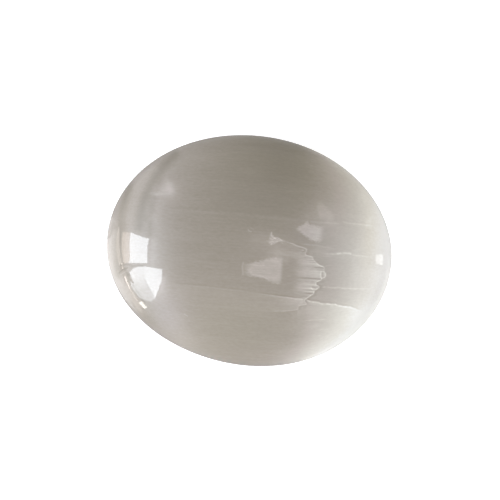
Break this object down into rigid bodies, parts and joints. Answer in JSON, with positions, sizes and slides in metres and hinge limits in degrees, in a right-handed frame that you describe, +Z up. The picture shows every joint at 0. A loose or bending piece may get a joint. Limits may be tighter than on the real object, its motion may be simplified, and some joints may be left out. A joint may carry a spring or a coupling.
{
  "type": "palm stone",
  "caption": "Oval satin spar palm stone, domed on both faces and polished all over, that sits in a closed hand or rests on a small flat spot.",
  "frame": {"origin": "middle of the flat spot that the stone rests on, under the middle of the oval", "axes": "+Z up, X along the stone's length with the blunter end at -X, Y across its width"},
  "size_m": [0.064, 0.0514, 0.023],
  "materials": {
    "satin_spar": "high polish over translucent grey fibrous gypsum, with silky fibres along the length and white healed cracks"
  },
  "bodies": {
    "root": {"palm_stone": "satin_spar"}
  },
  "joints": []
}
